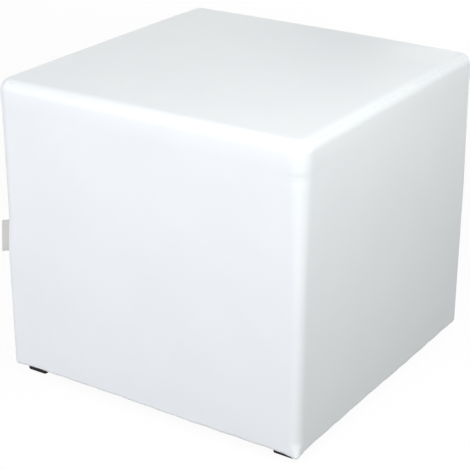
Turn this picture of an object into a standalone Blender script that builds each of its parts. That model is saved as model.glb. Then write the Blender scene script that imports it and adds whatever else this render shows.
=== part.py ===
# Square pouf: a box frame of board, padded with foam, inside one sewn leatherette cover.
# Metres, +Z up. The origin is on the floor under the pouf's middle, and -Y is the front.

import math

import bmesh
import bpy
from mathutils import Matrix, Vector

# Overall sizes
pouf_width = 0.450
pouf_depth = 0.450
frame_height = 0.345
top_edge_round = 0.015
fit_gap = 0.0003
weld_distance = 0.00003

# Rounding of the upright corners: round over the seat pad, then tighter down to an even
# rounding. The two sewn corners are tighter than the two that the side bands go round, and
# those two are creased to a point at the hem.
corner_round = 0.019
corner_round_low = 0.0135
corner_round_hem = 0.003
sewn_corner_round = 0.016
sewn_corner_round_low = 0.009
corner_ease_drop = 0.150
corner_crease_rise = 0.018

# How the seat pad fills out the cover
crown_rise = 0.0020
corner_settle = 0.0005
pad_fullness = 0.0009
pad_lower_round = 0.004

# Cover
cover_thickness = 0.001
cover_lower_round = 0.004
cover_turn_under = 0.030

# Padding
side_foam_thickness = 0.008
seat_foam_thickness = 0.035
wadding_thickness = 0.005

# Wooden frame
wall_thickness = 0.009
seat_board_thickness = 0.015
post_width = 0.035
rail_thickness = 0.025
rail_height = 0.035

# Feet
foot_width = 0.030
foot_height = 0.008
foot_edge_round = 0.0015
foot_inset_left = 0.0175
foot_inset_right = 0.011
foot_inset_front = 0.009
foot_inset_back = 0.009

# Cloth under the frame
dust_cover_thickness = 0.0006
dust_cover_inset = 0.007
dust_cover_round = 0.012

# Side tag in the front left seam
tag_height = 0.044
tag_reach = 0.0095
tag_thickness = 0.0008
tag_edge_round = 0.00025
tag_lower_edge = 0.176

# Countersunk screws of the frame
frame_screw_head_radius = 0.0036
frame_screw_head_height = 0.0026
frame_screw_radius = 0.0018
frame_screw_length = 0.029
screw_point = 0.004
front_screw_margin = 0.060
side_screw_margin = 0.090

# Flat-seated screws of the feet, each in a recess under its foot
foot_screw_head_radius = 0.0040
foot_screw_head_height = 0.0024
foot_screw_radius = 0.0019
foot_screw_length = 0.0224
foot_recess_radius = 0.0055
foot_recess_depth = 0.0045
cutter_overrun = 0.002

# Smoothness of the round forms
corner_steps = 6
edge_steps = 4
fold_steps = 2
screw_steps = 10
side_shares = (0.06, 0.14, 0.28, 0.5, 0.72, 0.86, 0.94)
crown_ring_shares = (0.12, 0.36, 0.68)
crown_power = 4
settle_power = 8
seam_share = 0.5
mitre_share = 0.5
smooth_angle = math.radians(50)

# Heights, stacked up from the floor
dust_cover_low = foot_height + fit_gap
cover_low = dust_cover_low + dust_cover_thickness + fit_gap
frame_low = cover_low + cover_thickness + fit_gap
frame_top = frame_low + frame_height
seat_board_low = frame_top + fit_gap
seat_board_top = seat_board_low + seat_board_thickness
seat_foam_low = seat_board_top + fit_gap
wadding_low = seat_foam_low + seat_foam_thickness + fit_gap
cover_top_level = wadding_low + wadding_thickness + fit_gap + cover_thickness
top_arc_level = cover_top_level - top_edge_round
cover_arc_level = cover_low + cover_lower_round
corner_ease_level = seat_foam_low - corner_ease_drop
corner_crease_level = cover_low + corner_crease_rise

# Depths, measured inwards from the pouf's sides
foam_depth = cover_thickness + fit_gap
wall_depth = foam_depth + side_foam_thickness + fit_gap
post_depth = wall_depth + wall_thickness + fit_gap
wadding_depth = cover_thickness + fit_gap
seat_foam_depth = wadding_depth + wadding_thickness + fit_gap

seam_gap_angle = fit_gap / (2 * (top_edge_round - cover_thickness))
half_width = pouf_width / 2
half_depth = pouf_depth / 2
corner_signs = ((1, -1), (1, 1), (-1, 1), (-1, -1))
corner_names = ("front_right", "back_right", "back_left", "front_left")
sewn_corners = (1, 3)
side_names = ("front", "right", "back", "left")


def clear_scene():
    for item in list(bpy.data.objects):
        bpy.data.objects.remove(item, do_unlink=True)


def new_collection(name):
    collection = bpy.data.collections.new(name)
    bpy.context.scene.collection.children.link(collection)
    return collection


def finish(name, colour, roughness, metallic=0.0):
    material = bpy.data.materials.new(name)
    material.use_nodes = True
    shader = material.node_tree.nodes["Principled BSDF"]
    shader.inputs["Base Color"].default_value = (*colour, 1.0)
    shader.inputs["Roughness"].default_value = roughness
    shader.inputs["Metallic"].default_value = metallic
    return material


def add_piece(name, mesh, material, smooth=False):
    piece = bpy.data.objects.new(name, mesh)
    pouf.objects.link(piece)
    if not mesh.materials:
        mesh.materials.append(material)
    if smooth:
        mesh.shade_smooth()
        mesh.set_sharp_from_angle(angle=smooth_angle)
    return piece


def mesh_from(name, shape):
    bmesh.ops.remove_doubles(shape, verts=shape.verts, dist=weld_distance)
    bmesh.ops.recalc_face_normals(shape, faces=shape.faces)
    mesh = bpy.data.meshes.new(name)
    shape.to_mesh(mesh)
    shape.free()
    return mesh


def block(name, low, high, material):
    """A board, post or rail between two corners."""
    size = Vector(high) - Vector(low)
    middle = (Vector(high) + Vector(low)) / 2
    shape = bmesh.new()
    bmesh.ops.create_cube(shape, size=1.0, matrix=Matrix.Diagonal(size).to_4x4())
    piece = add_piece(name, mesh_from(name, shape), material)
    piece.location = middle
    return piece


# The plan of the pouf is a square with round corners. A line at some depth inside it keeps
# the corner's centre while its radius lasts, and has a square corner where it is deeper.


def corner_radius(corner, height):
    """The rounding of an upright corner at a height."""
    sewn = corner in sewn_corners
    upper = sewn_corner_round if sewn else corner_round
    lower = sewn_corner_round_low if sewn else corner_round_low
    levels = (cover_low, corner_crease_level, corner_ease_level, seat_foam_low)
    radii = (lower if sewn else corner_round_hem, lower, lower, upper)
    for number in range(3):
        if height < levels[number + 1]:
            rise = max(height - levels[number], 0.0) / (levels[number + 1] - levels[number])
            return radii[number] + (radii[number + 1] - radii[number]) * rise
    return upper


def corner_point(corner, share, depth, height):
    radius = max(corner_radius(corner, height) - depth, 0.0)
    across, along = corner_signs[corner]
    angle = math.radians(90 * (corner - 1 + share))
    return Vector((across * (half_width - depth - radius) + radius * math.cos(angle),
                   along * (half_depth - depth - radius) + radius * math.sin(angle)))


def side_point(side, share, depth, height):
    start = corner_point((side - 1) % 4, 1, depth, height)
    end = corner_point(side, 0, depth, height)
    return start.lerp(end, share)


def corner_stations(corner, first, last):
    steps = round(corner_steps * (last - first))
    return [(corner_point, corner, first + (last - first) * step / steps)
            for step in range(steps + 1)]


def side_stations(side):
    return [(side_point, side, share) for share in side_shares]


def settled(x, y, z):
    """Raise the crown and let the corners sink, over the height of the seat pad alone."""
    share = (z - seat_foam_low) / (cover_top_level - seat_foam_low)
    share = min(max(share, 0.0), 1.0)
    across = min(abs(x) / half_width, 1.0)
    along = min(abs(y) / half_depth, 1.0)
    rise = crown_rise * (1 - across ** crown_power) * (1 - along ** crown_power)
    sink = corner_settle * (across * along) ** settle_power
    return z + (rise - sink) * share


def place(point, z):
    return Vector((point.x, point.y, settled(point.x, point.y, z)))


def edge_angles(first_share=0.0, last_share=1.0):
    """Steps round the top edge, from 0, facing out, to a quarter turn, facing up."""
    steps = range(round(edge_steps * first_share), round(edge_steps * last_share) + 1)
    return [math.pi / 2 * step / edge_steps for step in steps]


def top_edge_line(depth, angles):
    """Points of the rounded top edge at a depth under the cover's face, as (depth, height)."""
    radius = max(top_edge_round - depth, 0.0)
    centre = top_edge_round if radius else depth
    height = cover_top_level - centre
    return [(centre - radius * math.cos(angle) - pad_fullness, height + radius * math.sin(angle))
            for angle in angles]


def lower_fold_line(depth):
    """The fold at the cover's lower edge, from facing out to facing down."""
    radius = cover_lower_round - depth
    points = []
    for step in range(fold_steps + 1):
        angle = math.pi / 2 * step / fold_steps
        points.append((cover_lower_round - radius * math.cos(angle),
                       cover_arc_level - radius * math.sin(angle)))
    return points


def way_round(corner, share):
    """The direction of the plan's outline at a place in a corner."""
    angle = math.radians(90 * (corner - 1 + share))
    return Vector((-math.sin(angle), math.cos(angle)))


def cut_back(point, end, way, depth, height):
    """Keep a point of a mitred piece half a gap short of the corner's diagonal."""
    locate, corner, share = end
    facing = way * way_round(corner, share)
    short = fit_gap / 2 - (point - locate(corner, share, depth, height)).dot(facing)
    if short <= 0:
        return point
    # a point in a round corner moves straight back, and one in a square corner along its side
    sliding = facing
    if depth >= corner_radius(corner, height):
        sliding = way * way_round(corner, (1 + way) / 2)
    return point + sliding * short / sliding.dot(facing)


def section_rows(stations, section):
    """Place a section of (depth, height) points at each station, with mitred ends."""
    rows = []
    ends = ((stations[0], 1), (stations[-1], -1))
    for locate, index, share in stations:
        row = []
        for depth, height in section:
            point = locate(index, share, depth, height)
            for end, way in ends:
                if locate is corner_point and index == end[1]:
                    point = cut_back(point, end, way, depth, height)
            row.append(place(point, height))
        rows.append(row)
    return rows


def sweep(name, rows):
    """Join rows of points, each a closed section, into one body."""
    shape = bmesh.new()
    rings = [[shape.verts.new(point) for point in row] for row in rows]
    for first, second in zip(rings, rings[1:]):
        for order in range(len(first)):
            after = (order + 1) % len(first)
            shape.faces.new((first[order], first[after], second[after], second[order]))
    for ring in (rings[0], rings[-1]):
        shape.faces.new(ring)
    return mesh_from(name, shape)


def ring_stations():
    stations = []
    for index in range(4):
        stations += side_stations(index) + corner_stations(index, 0, 1)
    return stations


def stack_rings(name, rings, top_level, low_level):
    """Close a stack of plan rings, listed from the top's middle to the underside's middle."""
    shape = bmesh.new()
    stations = ring_stations()
    rows = []
    for depth, height in rings:
        rows.append([shape.verts.new(place(locate(index, share, depth, height), height))
                     for locate, index, share in stations])
    for number in range(len(rows) - 1):
        # every layer's faces are split the same way, so that layers stay parallel
        inner, outer = rows[number], rows[number + 1]
        if rings[number][0] < rings[number + 1][0]:
            inner, outer = outer, inner
        for order in range(len(stations)):
            after = (order + 1) % len(stations)
            shape.faces.new((inner[order], outer[order], outer[after]))
            shape.faces.new((inner[order], outer[after], inner[after]))
    for row, level in ((rows[0], top_level), (rows[-1], low_level)):
        middle = shape.verts.new(place(Vector((0, 0)), level))
        for order, vertex in enumerate(row):
            shape.faces.new((vertex, row[(order + 1) % len(row)], middle))
    return mesh_from(name, shape)


def crown_rings(depth):
    """Rings over the flat of the seat, from near its middle out to its rounded edge."""
    edge = max(top_edge_round, depth)
    inner = [edge + share * (min(half_width, half_depth) - edge) for share in crown_ring_shares]
    return [(ring, cover_top_level - depth) for ring in reversed(inner)]


# Cover: a top panel and two lengths of side band, each going round one corner.


def build_cover_top():
    angles = edge_angles(first_share=seam_share)
    angles[0] += seam_gap_angle
    outer = top_edge_line(0.0, angles[::-1])
    inner = top_edge_line(cover_thickness, angles)
    rings = crown_rings(0.0) + outer + inner + crown_rings(cover_thickness)[::-1]
    mesh = stack_rings("cover_top", rings, cover_top_level, cover_top_level - cover_thickness)
    return add_piece("cover_top", mesh, leatherette, smooth=True)


def cover_side_line(depth):
    """One face of the side band, from the top seam down to the turned-under edge."""
    angles = edge_angles(last_share=seam_share)
    angles[-1] -= seam_gap_angle
    line = top_edge_line(depth, angles[::-1])
    line.append((depth - pad_fullness, seat_foam_low + pad_lower_round))
    line.append((depth, seat_foam_low))
    line += [(depth, corner_ease_level), (depth, corner_crease_level)]
    line += lower_fold_line(depth)
    line.append((cover_turn_under, cover_low + depth))
    return line


def build_cover_bands():
    section = cover_side_line(0.0) + cover_side_line(cover_thickness)[::-1]
    for name, first in (("cover_band_front_right", 0), ("cover_band_back_left", 2)):
        last = (first - 1) % 4
        stations = (corner_stations(last, mitre_share, 1) + side_stations(first)
                    + corner_stations(first, 0, 1) + side_stations(first + 1)
                    + corner_stations(first + 1, 0, mitre_share))
        mesh = sweep(name, section_rows(stations, section))
        band = add_piece(name, mesh, leatherette, smooth=True)
        cut_clearances(band, foot_screw_cutters)


def build_side_tag():
    """A folded ribbon standing out of the front left seam, on the corner's diagonal."""
    out = Vector((-1, -1)).normalized()
    root = corner_point(3, mitre_share, -fit_gap, tag_lower_edge)
    shape = bmesh.new()
    size = Vector((tag_reach, tag_thickness, tag_height))
    bmesh.ops.create_cube(shape, size=1.0, matrix=Matrix.Diagonal(size).to_4x4())
    tag = add_piece("side_tag", mesh_from("side_tag", shape), ribbon)
    middle = root + out * (tag_reach / 2)
    tag.location = (middle.x, middle.y, tag_lower_edge + tag_height / 2)
    tag.rotation_euler = (0, 0, math.atan2(out.y, out.x))
    fold = tag.modifiers.new("folded edge", "BEVEL")
    fold.width = tag_edge_round
    fold.segments = 2


# Padding: seat foam and wadding share the cover's crown, and the walls carry thin foam.


def build_seat_wadding():
    under = wadding_depth + wadding_thickness
    outer = top_edge_line(wadding_depth, edge_angles()[::-1])
    inner = top_edge_line(under, edge_angles())
    rings = crown_rings(wadding_depth) + outer + inner + crown_rings(under)[::-1]
    mesh = stack_rings("seat_wadding", rings, cover_top_level - wadding_depth,
                       cover_top_level - under)
    return add_piece("seat_wadding", mesh, wadding, smooth=True)


def build_seat_foam():
    outer = top_edge_line(seat_foam_depth, edge_angles()[::-1])
    shoulder = wadding_depth - pad_fullness
    ledge = top_arc_level - fit_gap
    rings = crown_rings(seat_foam_depth) + outer
    rings += [(outer[-1][0], ledge), (shoulder, ledge)]
    rings += [(shoulder, seat_foam_low + pad_lower_round), (wadding_depth, seat_foam_low)]
    mesh = stack_rings("seat_foam", rings, cover_top_level - seat_foam_depth, seat_foam_low)
    return add_piece("seat_foam", mesh, foam, smooth=True)


def foam_back_point(side, share):
    """A point on the straight line along a wall's face, its ends cut back for the mitres."""
    reach = Vector((half_width - wall_depth + fit_gap, half_depth - wall_depth + fit_gap))
    start = reach * Vector(corner_signs[(side - 1) % 4])
    end = reach * Vector(corner_signs[side])
    trim = (end - start).normalized() * fit_gap / math.sqrt(2)
    return (start + trim).lerp(end - trim, share)


def build_side_foams():
    levels = (seat_board_top, corner_ease_level, corner_crease_level)
    face = [(foam_depth, level) for level in levels] + lower_fold_line(foam_depth)
    for side, name in enumerate(side_names):
        first = corner_stations((side - 1) % 4, mitre_share, 1)
        last = corner_stations(side, 0, mitre_share)
        rows = section_rows(first + last, face)
        for number, row in enumerate(rows):
            point = foam_back_point(side, 0 if number < len(first) else 1)
            row += [place(point, frame_low), place(point, seat_board_top)]
        add_piece("side_foam_" + name, sweep("side_foam_" + name, rows), foam, smooth=True)


# Frame: four walls and four rails screwed to corner posts, with the seat board on top.


def build_walls():
    outer_x = half_width - wall_depth
    outer_y = half_depth - wall_depth
    inner_x = outer_x - wall_thickness
    inner_y = outer_y - wall_thickness
    reach_y = inner_y - fit_gap
    spans = {"front": ((-outer_x, -outer_y), (outer_x, -inner_y)),
             "back": ((-outer_x, inner_y), (outer_x, outer_y)),
             "left": ((-outer_x, -reach_y), (-inner_x, reach_y)),
             "right": ((inner_x, -reach_y), (outer_x, reach_y))}
    for name, (low, high) in spans.items():
        wall = block("side_board_" + name, (*low, frame_low), (*high, frame_top), plywood)
        cut_clearances(wall, frame_screw_cutters)


def post_bounds(corner):
    across, along = corner_signs[corner]
    outer = Vector((across * (half_width - post_depth), along * (half_depth - post_depth)))
    inner = outer - Vector((across, along)) * post_width
    return ((min(outer.x, inner.x), min(outer.y, inner.y)),
            (max(outer.x, inner.x), max(outer.y, inner.y)))


def build_posts():
    for corner, name in enumerate(corner_names):
        low, high = post_bounds(corner)
        post = block("corner_post_" + name, (*low, frame_low), (*high, frame_top), timber)
        cut_clearances(post, frame_screw_cutters)
        cut_clearances(post, foot_screw_cutters)


def build_rails():
    outer_x = half_width - post_depth
    outer_y = half_depth - post_depth
    end_x = outer_x - post_width - fit_gap
    end_y = outer_y - post_width - fit_gap
    inner_x = outer_x - rail_thickness
    inner_y = outer_y - rail_thickness
    spans = {"front": ((-end_x, -outer_y), (end_x, -inner_y)),
             "back": ((-end_x, inner_y), (end_x, outer_y)),
             "left": ((-outer_x, -end_y), (-inner_x, end_y)),
             "right": ((inner_x, -end_y), (outer_x, end_y))}
    for name, (low, high) in spans.items():
        rail = block("base_rail_" + name, (*low, frame_low), (*high, frame_low + rail_height),
                     timber)
        cut_clearances(rail, frame_screw_cutters)


def build_seat_board():
    reach = Vector((half_width - wall_depth, half_depth - wall_depth))
    board = block("seat_board", (-reach.x, -reach.y, seat_board_low),
                  (reach.x, reach.y, seat_board_top), plywood)
    cut_clearances(board, frame_screw_cutters)


# Screws: each has a cutter of its own shape and a clearance, for what it passes through.


# A profile is half a screw's outline, from its axis at the head to its axis at the tip.
# The screw points down, and its head's face is at zero.


def frame_screw_profile(clearance=0.0, overrun=0.0):
    head = frame_screw_head_radius + clearance
    shank = frame_screw_radius + clearance
    tip = -frame_screw_length - clearance
    return [(0, overrun), (head, overrun), (head, -clearance),
            (shank, -frame_screw_head_height - clearance), (shank, tip + screw_point), (0, tip)]


def foot_screw_profile():
    neck = -foot_screw_head_height
    return [(0, 0), (foot_screw_head_radius, 0), (foot_screw_head_radius, neck),
            (foot_screw_radius, neck), (foot_screw_radius, screw_point - foot_screw_length),
            (0, -foot_screw_length)]


def foot_recess_profile():
    """The room a foot screw takes: a recess for its head, open below the foot."""
    mouth = foot_recess_depth - foot_screw_head_height + cutter_overrun
    seat = -foot_screw_head_height - fit_gap
    shank = foot_screw_radius + fit_gap
    tip = -foot_screw_length - fit_gap
    return [(0, mouth), (foot_recess_radius, mouth), (foot_recess_radius, seat),
            (shank, seat), (shank, tip), (0, tip)]


def turned_mesh(name, profile):
    shape = bmesh.new()
    corners = [shape.verts.new((x, 0, z)) for x, z in profile]
    for first, second in zip(corners, corners[1:]):
        if first.co != second.co:
            shape.edges.new((first, second))
    bmesh.ops.remove_doubles(shape, verts=shape.verts, dist=weld_distance)
    mesh = bpy.data.meshes.new(name)
    shape.to_mesh(mesh)
    shape.free()
    return mesh


def turn(piece):
    spin = piece.modifiers.new("turned", "SCREW")
    spin.steps = screw_steps
    spin.render_steps = screw_steps
    spin.use_merge_vertices = True
    spin.merge_threshold = weld_distance


def add_screw(name, meshes, head_face, pointing, cutters):
    """A screw whose head's face is at head_face, and the cutter for its hole."""
    rotation = Vector((0, 0, -1)).rotation_difference(Vector(pointing)).to_euler()
    screw = add_piece(name, meshes[0], steel)
    cutter = bpy.data.objects.new(name + "_clearance", meshes[1])
    cutters.objects.link(cutter)
    cutter.hide_render = True
    cutter.display_type = "WIRE"
    for item in (screw, cutter):
        item.location = head_face
        item.rotation_euler = rotation
        turn(item)


def cut_clearances(piece, cutters):
    cut = piece.modifiers.new("clearances", "BOOLEAN")
    cut.operation = "DIFFERENCE"
    cut.operand_type = "COLLECTION"
    cut.collection = cutters
    cut.solver = "EXACT"


def foot_middle(corner):
    across, along = corner_signs[corner]
    inset_x = foot_inset_right if across > 0 else foot_inset_left
    inset_y = foot_inset_back if along > 0 else foot_inset_front
    return Vector((across * (half_width - inset_x - foot_width / 2),
                   along * (half_depth - inset_y - foot_width / 2)))


def post_middle(corner):
    across, along = corner_signs[corner]
    reach = post_depth + post_width / 2
    return Vector((across * (half_width - reach), along * (half_depth - reach)))


def build_frame_screws():
    meshes = (turned_mesh("frame_screw", frame_screw_profile()),
              turned_mesh("frame_screw_room", frame_screw_profile(fit_gap, cutter_overrun)))
    for corner, name in enumerate(corner_names):
        middle = post_middle(corner)
        across, along = corner_signs[corner]
        add_screw("seat_screw_" + name, meshes, (middle.x, middle.y, seat_board_top),
                  (0, 0, -1), frame_screw_cutters)
        for level, rise in (("lower", 1), ("upper", -1)):
            edge = frame_low if rise > 0 else frame_top
            front_level = edge + rise * front_screw_margin
            side_level = edge + rise * side_screw_margin
            row = "front" if along < 0 else "back"
            column = "right" if across > 0 else "left"
            add_screw("board_screw_" + row + "_" + column + "_" + level, meshes,
                      (middle.x, along * (half_depth - wall_depth), front_level),
                      (0, -along, 0), frame_screw_cutters)
            add_screw("board_screw_" + column + "_" + row + "_" + level, meshes,
                      (across * (half_width - wall_depth), middle.y, side_level),
                      (-across, 0, 0), frame_screw_cutters)
    rail_level = frame_low + rail_height / 2
    reach_x = half_width - wall_depth
    reach_y = half_depth - wall_depth
    for name, spot, pointing in (("front", (0, -reach_y), (0, 1, 0)),
                                 ("right", (reach_x, 0), (-1, 0, 0)),
                                 ("back", (0, reach_y), (0, -1, 0)),
                                 ("left", (-reach_x, 0), (1, 0, 0))):
        add_screw("rail_screw_" + name, meshes, (*spot, rail_level), pointing,
                  frame_screw_cutters)


def build_foot_screws():
    meshes = (turned_mesh("foot_screw", foot_screw_profile()),
              turned_mesh("foot_screw_room", foot_recess_profile()))
    head_face = foot_recess_depth - foot_screw_head_height - fit_gap
    for corner, name in enumerate(corner_names):
        middle = foot_middle(corner)
        add_screw("foot_screw_" + name, meshes, (middle.x, middle.y, head_face), (0, 0, 1),
                  foot_screw_cutters)


# Feet and the cloth that closes the underside.


def build_feet():
    for corner, name in enumerate(corner_names):
        middle = foot_middle(corner)
        half = Vector((foot_width / 2, foot_width / 2))
        foot = block("foot_" + name, (*(middle - half), 0), (*(middle + half), foot_height),
                     plastic)
        edge = foot.modifiers.new("rounded edges", "BEVEL")
        edge.width = foot_edge_round
        edge.segments = 2
        cut_clearances(foot, foot_screw_cutters)


def build_dust_cover():
    shape = bmesh.new()
    reach = Vector((half_width - dust_cover_inset, half_depth - dust_cover_inset))
    size = Vector((2 * reach.x, 2 * reach.y, dust_cover_thickness))
    bmesh.ops.create_cube(shape, size=1.0, matrix=Matrix.Diagonal(size).to_4x4())
    upright = [edge for edge in shape.edges
               if edge.verts[0].co.xy == edge.verts[1].co.xy]
    bmesh.ops.bevel(shape, geom=upright, offset=dust_cover_round, segments=3, profile=0.5,
                    affect="EDGES")
    cloth = add_piece("dust_cover", mesh_from("dust_cover", shape), black_cloth)
    cloth.location.z = dust_cover_low + dust_cover_thickness / 2
    cut_clearances(cloth, foot_screw_cutters)


clear_scene()
pouf = new_collection("square_pouf")
frame_screw_cutters = new_collection("frame_screw_clearances")
foot_screw_cutters = new_collection("foot_screw_clearances")

leatherette = finish("white leatherette", (0.86, 0.88, 0.89), 0.42)
ribbon = finish("woven ribbon", (0.78, 0.78, 0.76), 0.85)
foam = finish("polyurethane foam", (0.80, 0.74, 0.50), 0.95)
wadding = finish("polyester wadding", (0.88, 0.88, 0.86), 0.95)
plywood = finish("poplar plywood", (0.62, 0.45, 0.27), 0.75)
timber = finish("pine timber", (0.70, 0.52, 0.30), 0.75)
plastic = finish("black plastic", (0.012, 0.012, 0.013), 0.55)
black_cloth = finish("black non-woven cloth", (0.015, 0.015, 0.016), 0.95)
steel = finish("zinc plated steel", (0.62, 0.62, 0.60), 0.35, 1.0)

build_frame_screws()
build_foot_screws()
build_walls()
build_posts()
build_rails()
build_seat_board()
build_side_foams()
build_seat_foam()
build_seat_wadding()
build_cover_top()
build_cover_bands()
build_side_tag()
build_dust_cover()
build_feet()
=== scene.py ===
import math

import bmesh
import bpy
import numpy as np
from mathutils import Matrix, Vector


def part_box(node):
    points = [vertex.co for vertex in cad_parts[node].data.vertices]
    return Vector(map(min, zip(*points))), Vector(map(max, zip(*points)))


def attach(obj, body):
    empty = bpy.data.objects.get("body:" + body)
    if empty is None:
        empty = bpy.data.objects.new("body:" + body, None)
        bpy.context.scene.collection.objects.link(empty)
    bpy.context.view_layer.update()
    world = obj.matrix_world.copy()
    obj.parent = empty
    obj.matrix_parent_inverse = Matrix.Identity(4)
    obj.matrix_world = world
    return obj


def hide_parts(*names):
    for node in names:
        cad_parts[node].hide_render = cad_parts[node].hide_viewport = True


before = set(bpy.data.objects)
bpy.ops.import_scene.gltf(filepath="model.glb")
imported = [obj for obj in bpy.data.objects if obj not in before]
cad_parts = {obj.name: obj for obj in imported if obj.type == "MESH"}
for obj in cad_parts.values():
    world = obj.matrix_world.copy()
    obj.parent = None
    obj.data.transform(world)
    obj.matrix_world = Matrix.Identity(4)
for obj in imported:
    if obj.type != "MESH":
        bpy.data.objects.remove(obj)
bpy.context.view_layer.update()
scene = bpy.context.scene
mm = 0.001
print("frame loaded with", len(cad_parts), "solids")


def addObject(name, data):
    item = bpy.data.objects.new(name, data)
    scene.collection.objects.link(item)
    return item


# Camera

view = {
    "place": (0.96991, -1.51632, 0.94508),
    "turn": (66.719, -0.14, 32.974),        # degrees
    "lens": 109.967,
    "sensor": 36,
}
camera = addObject("camera", bpy.data.cameras.new("camera"))
camera.location = view["place"]
camera.rotation_euler = [math.radians(turn) for turn in view["turn"]]
camera.data.lens, camera.data.sensor_width = view["lens"], view["sensor"]
scene.camera = camera

# Form of the pouf, as its solids have it

form = {
    "half": 225 * mm,
    "cornerRound": 19 * mm,         # over the seat pad
    "cornerRoundLow": 13.5 * mm,    # from some way below the pad
    "cornerRoundHem": 3 * mm,
    "sewnRound": 16 * mm,           # the same at the two corners with a seam
    "sewnRoundLow": 9 * mm,
    "cornerEaseDrop": 150 * mm,
    "cornerCreaseRise": 18 * mm,    # where the corner starts to sharpen towards the hem
    "tagEase": 16 * mm,             # how far above the tag its corner is full
    "topEdgeRound": 15 * mm,
    "hemRound": 4 * mm,
    "leftRise": 0.5 * mm,           # how far the top's left edge stands higher
    "backSink": 1.2 * mm,           # and its back edge lower
    "hemArch": 1.4 * mm,            # how far the hem rises over the first half of a side
    "archShares": (0.07, 0.36, 0.66),   # where it is full, and where it starts and ends to sink
    "hemDroop": 1 * mm,             # how far it hangs at the corners
    "foldDroop": 2 * mm,            # and beside a corner without a seam, where it is folded
    "foldPlace": 5 * mm,
    "foldWidth": 9 * mm,
    "hemFade": 28 * mm,             # height over which all this fades
    "leanReach": 70 * mm,           # how far in from those edges the top leans
    "crownRise": 2.0 * mm,
    "cornerSettle": 0.5 * mm,       # how far the top's corners sink
    "padFullness": 0.9 * mm,        # how far the wall stands out over the seat pad
    "skin": 1.0 * mm,
    "slit": 0.3 * mm,               # between neighbouring layers
    "wadding": 5.0 * mm,
    "sideFoam": 8.0 * mm,
    "turnUnder": 30 * mm,
}
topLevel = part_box("cover_top")[1].z - form["crownRise"]
topArcLevel = topLevel - form["topEdgeRound"]
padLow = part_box("seat_foam")[0].z
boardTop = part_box("seat_board")[1].z
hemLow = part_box("cover_band_front_right")[0].z
hemArcLevel = hemLow + form["hemRound"]
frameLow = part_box("corner_post_front_left")[0].z
tagLow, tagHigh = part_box("side_tag")
quarter = math.pi / 2
insidePoint = np.array([0, 0, 0.2])
sideNames = ("front", "right", "back", "left")


def smooth(low, high, value):
    share = np.clip((value - low) / (high - low), 0, 1)
    return share * share * (3 - 2 * share)


def bell(value, width, power=2):
    return np.exp(-(value / width) ** power)


def cornerRadius(side, share, level):
    # the front left and back right corners have a seam and stay round down to the hem
    sewn = (np.asarray(share) < 0) == (side % 2 == 0)
    upper = np.where(sewn, form["sewnRound"], form["cornerRound"])
    lower = np.where(sewn, form["sewnRoundLow"], form["cornerRoundLow"])
    hem = np.where(sewn, form["sewnRoundLow"], form["cornerRoundHem"])
    crease = np.clip((level - hemLow) / form["cornerCreaseRise"], 0, 1)
    ease = np.clip(1 + (level - padLow) / form["cornerEaseDrop"], 0, 1)
    # the corner with the tag stays round down to the tag
    tagged = sewn & (side in (0, 3))
    ease = np.where(tagged, smooth(tagLow.z, tagHigh.z + form["tagEase"], level), ease)
    return hem + (lower - hem) * crease + (upper - lower) * ease


def onSide(side, run, out):
    # side 0 is the front, then counterclockwise
    return ((run, -out), (out, run), (-run, out), (-out, -run))[side]


def roundedSquare(side, share, reach, radius):
    # share runs from -1 to 1, corner to corner
    radius = np.maximum(radius, 1e-6)
    along = np.abs(share) * reach
    turn = np.clip((along - reach + radius) / radius, 0, 1) * quarter / 2
    run = np.where(turn > 0, reach - radius + radius * np.sin(turn), along) * np.sign(share)
    return onSide(side, run, reach - radius + radius * np.cos(turn))


def planPoint(side, share, depth, level):
    return roundedSquare(side, share, form["half"] - depth,
                         cornerRadius(side, share, level) - depth)


def settled(x, y, z):
    # the crown rises and the corners sink over the height of the seat pad alone
    share = np.clip((z - padLow) / (topLevel - padLow), 0, 1)
    across = np.minimum(np.abs(x) / form["half"], 1)
    along = np.minimum(np.abs(y) / form["half"], 1)
    rise = form["crownRise"] * (1 - across ** 4) * (1 - along ** 4)
    sink = form["cornerSettle"] * (across * along) ** 8
    lean = (form["leftRise"] * bell(form["half"] + x, form["leanReach"], 1)
            - form["backSink"] * bell(form["half"] - y, form["leanReach"], 1))
    return z + (rise - sink + lean) * share


def capGrid(profile, place=planPoint):
    # a square grid whose rings follow the plan, from the middle out along a profile
    depth, level = np.array(profile).T
    reach = np.concatenate([[0], np.cumsum(np.hypot(np.diff(depth), np.diff(level)))])
    last = len(profile) - 1
    index = np.arange(-last, last + 1)
    line = np.sign(index) * reach[np.abs(index)]
    column, row = np.meshgrid(index, index)
    across, along = np.meshgrid(line, line)
    ring = np.maximum(np.abs(column), np.abs(row))
    rim = np.maximum(reach[ring], 1e-9)
    points = np.zeros(ring.shape + (3,))
    parts = ((row == -ring, across), (column == ring, along),
             (row == ring, -across), (column == -ring, -along))
    for side, (mine, run) in enumerate(parts):
        x, y = place(side, run / rim, depth[ring], level[ring])
        points[mine] = np.stack([x, y, settled(x, y, level[ring])], -1)[mine]
    return points


def hemShift(x, y, z, droop):
    # the hem arches over half of each side, and the cover alone droops at the corners
    full, sinks, ends = form["archShares"]
    place = roundPlace(np.stack([x, y], -1))
    along = (place + form["half"]) / (2 * form["half"]) % 1
    shift = form["hemArch"] * smooth(0, full, along) * smooth(ends, sinks, along)
    shift = shift - droop * form["hemDroop"] * (2 * np.abs(along - 0.5)) ** 20
    away = fromPlainCorner(place + form["foldPlace"])
    shift = shift - droop * form["foldDroop"] * bell(away, form["foldWidth"])
    return (shift * smooth(hemLow + form["hemFade"], hemLow, z)
            * smooth(form["hemRound"] + 3 * mm, form["hemRound"] - 1 * mm, fromEdge(x, y)))


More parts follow.
